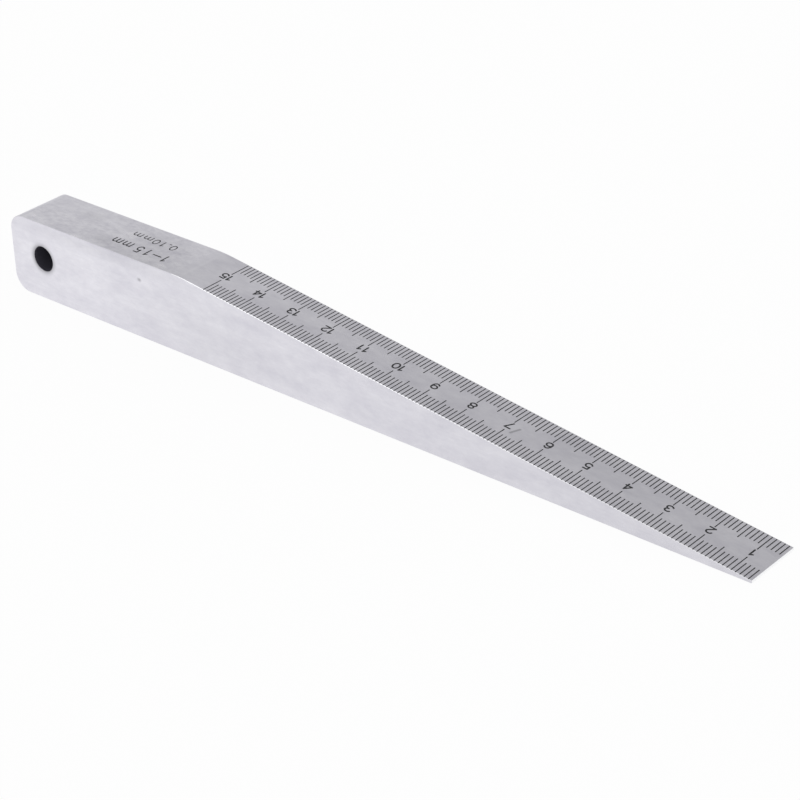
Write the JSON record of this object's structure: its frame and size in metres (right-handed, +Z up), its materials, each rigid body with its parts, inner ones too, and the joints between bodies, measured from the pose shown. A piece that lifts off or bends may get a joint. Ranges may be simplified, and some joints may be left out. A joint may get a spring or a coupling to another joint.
{
  "type": "taper gauge",
  "caption": "One-piece steel taper gauge: a flat handle with a hanging hole runs down a graduated slope to a thin blunt tip, and reads the width of a gap or bore.",
  "frame": {"origin": "on the base, at the middle of the length and the width", "axes": "+X along the length towards the thin tip, +Y across the width, +Z up from the base to the scale"},
  "size_m": [0.1664, 0.012, 0.0158],
  "materials": {
    "ground_steel": "satin ground steel with dark engraved graduations and numerals"
  },
  "bodies": {
    "root": {"gauge_body": "ground_steel"}
  },
  "joints": []
}
